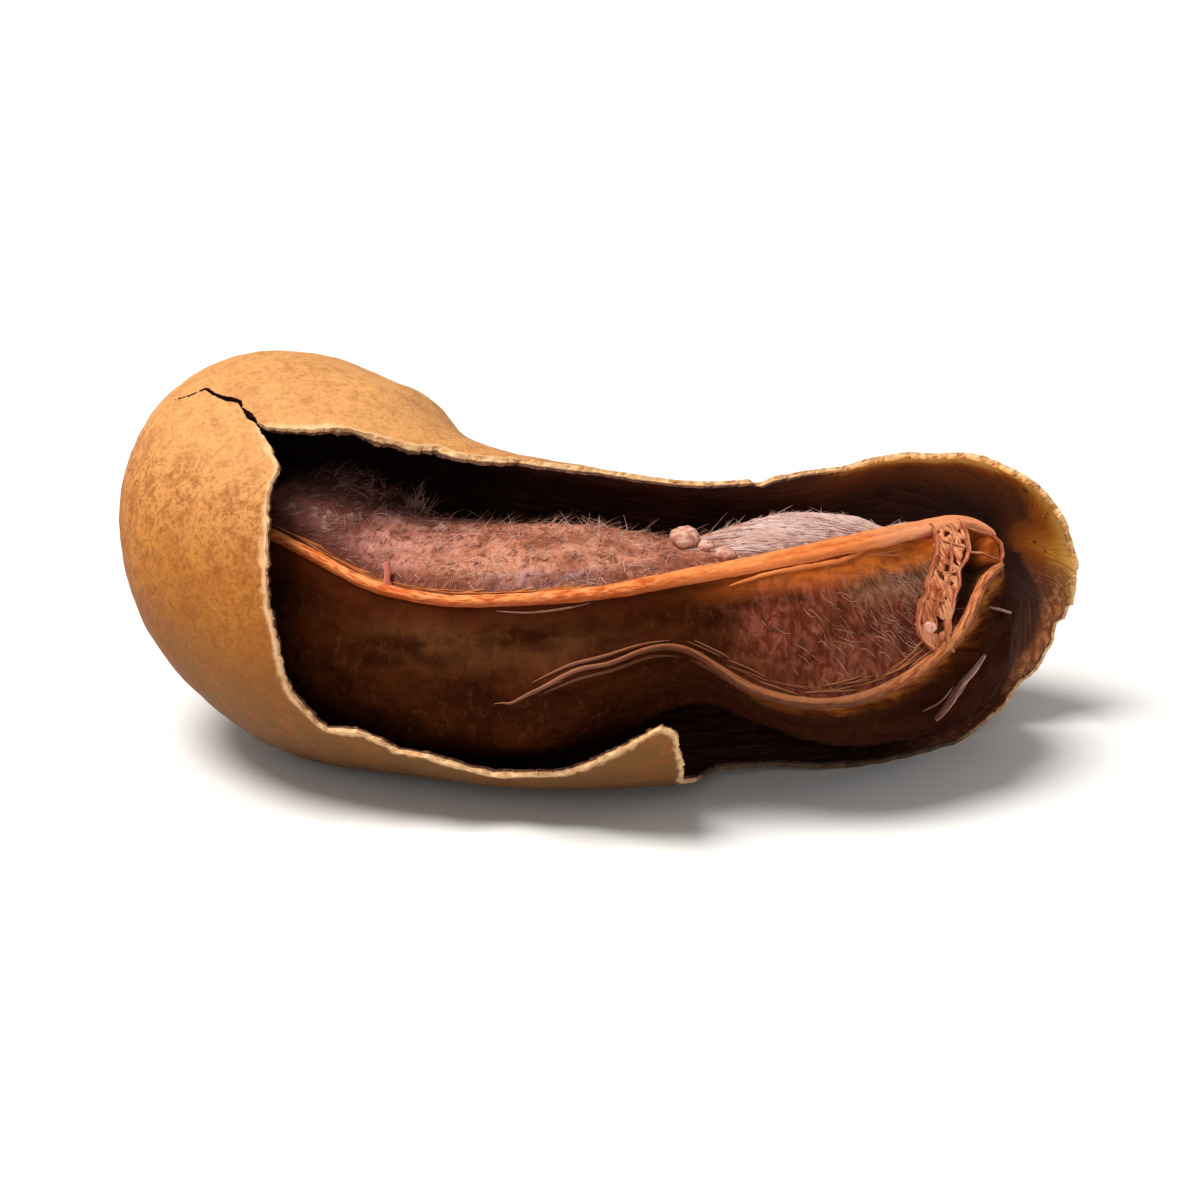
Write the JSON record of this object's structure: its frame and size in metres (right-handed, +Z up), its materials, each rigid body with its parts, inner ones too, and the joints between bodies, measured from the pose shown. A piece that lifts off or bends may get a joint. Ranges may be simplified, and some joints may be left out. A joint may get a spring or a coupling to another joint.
{
  "type": "tamarind pod",
  "caption": "Short curved tamarind pod lying on its side, its brittle shell broken open along one side over the sticky pulp and its stringy fibres.",
  "frame": {"origin": "centre of the footprint of the bounding box, on the floor the pod lies on", "axes": "+X along the pod from its closed rounder end to its opened end, -Y towards the broken-open side, +Z up"},
  "size_m": [0.067, 0.0306, 0.0271],
  "materials": {
    "husk": "matte, sandy and finely speckled outside, dark and fibrous inside",
    "pulp": "sticky, wrinkled, satin where bare and dull where felted",
    "ridge_fibre": "satin, moist",
    "lower_fibre": "satin, moist",
    "fine_fibre": "satin, moist"
  },
  "bodies": {
    "root": {"shell": "husk", "pulp": "pulp", "ridge_strand": "ridge_fibre", "lower_strand": "lower_fibre", "end_strand": "fine_fibre"}
  },
  "joints": []
}
